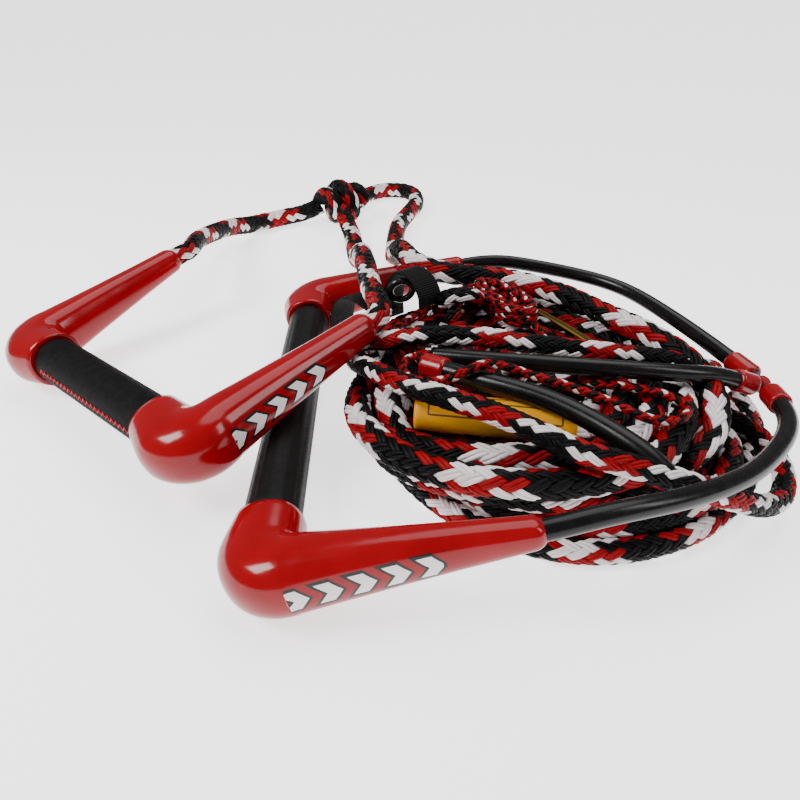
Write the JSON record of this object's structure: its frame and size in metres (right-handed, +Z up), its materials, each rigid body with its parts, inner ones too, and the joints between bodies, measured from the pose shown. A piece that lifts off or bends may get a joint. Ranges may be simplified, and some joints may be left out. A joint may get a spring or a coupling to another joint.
{
  "type": "tow rope handle",
  "caption": "Tow rope set: a wide hose-legged handle and a short rope-legged handle with red arms and black grips, lying with their coiled ropes and a rope keeper.",
  "frame": {"origin": "middle of the coiled rope's underside, on the floor", "axes": "+Z up from the floor, +Y along the wide handle's bar from its near arm to its far arm, +X from the wide handle's grip towards its bridle legs"},
  "size_m": [0.5104, 0.7037, 0.0785],
  "materials": {
    "arm_red": "gloss dipped moulding",
    "grip_rubber": "matt faceted rubber",
    "grip_neoprene": "matt neoprene with a stitched seam",
    "bar_aluminium": "drawn tube, satin",
    "float_foam": "closed-cell foam",
    "end_plug": "matt",
    "surf_rope": "thick plaited rope in red, white and black",
    "foil_line": "thin braided line in red, white and black",
    "core_cord": "braided cord",
    "hose": "glossy extruded hose",
    "sleeve_red": "heat-shrunk sleeve",
    "tag_yellow": "printed vinyl sleeve",
    "keeper_web": "ribbed elastic webbing",
    "keeper_ring": "glossy moulded ring",
    "tie_tape": "woven tape"
  },
  "bodies": {
    "root": {"foil_bar_tube": "bar_aluminium", "foil_float_core": "float_foam", "foil_near_end_plug": "end_plug", "foil_near_arm": "arm_red", "foil_far_end_plug": "end_plug", "foil_far_arm": "arm_red", "foil_grip": "grip_rubber", "surf_coil_low": "surf_rope", "surf_coil_top": "surf_rope", "warning_tag": "tag_yellow", "tagged_rope_run": "surf_rope", "surf_near_leg": "surf_rope", "surf_far_leg": "surf_rope", "surf_lead": "surf_rope", "surf_knot": "surf_rope", "surf_run_front": "surf_rope", "surf_run_middle": "surf_rope", "foil_near_hose": "hose", "foil_near_core": "core_cord", "foil_far_hose": "hose", "foil_far_core": "core_cord", "foil_lead_hose": "hose", "foil_lead_core": "core_cord", "foil_apex_splice": "core_cord", "foil_near_sleeve": "sleeve_red", "foil_far_sleeve": "sleeve_red", "foil_lead_sleeve": "sleeve_red", "foil_line_out": "foil_line", "foil_line_hank": "foil_line", "foil_line_back": "foil_line", "boat_loop_hose": "hose", "boat_loop_core": "core_cord", "boat_loop_sleeve": "sleeve_red", "keeper_band": "keeper_web", "keeper_tail": "keeper_web", "surf_rope_eye": "surf_rope", "tie_tape": "tie_tape"},
    "surf_handle": {"surf_bar_tube": "bar_aluminium", "surf_float_core": "float_foam", "surf_near_end_plug": "end_plug", "surf_near_arm": "arm_red", "surf_far_end_plug": "end_plug", "surf_far_arm": "arm_red", "surf_grip": "grip_neoprene", "surf_near_leg_tail": "core_cord", "surf_far_leg_tail": "core_cord"},
    "keeper_ring": {"keeper_ring": "keeper_ring"}
  },
  "joints": [
    {"name": "surf_handle_lift", "type": "hinge", "parent": "root", "child": "surf_handle", "pos_m": [-0.2035, 0.07519, 0.05943], "axis": [-0.7345, 0.6754, -0.0663], "range_deg": [0, 50]},
    {"name": "keeper_ring_swing", "type": "hinge", "parent": "root", "child": "keeper_ring", "pos_m": [-0.095, 0.0706, 0.0733], "axis": [0.9888, 0.1494, 0], "range_deg": [-20, 20]}
  ]
}
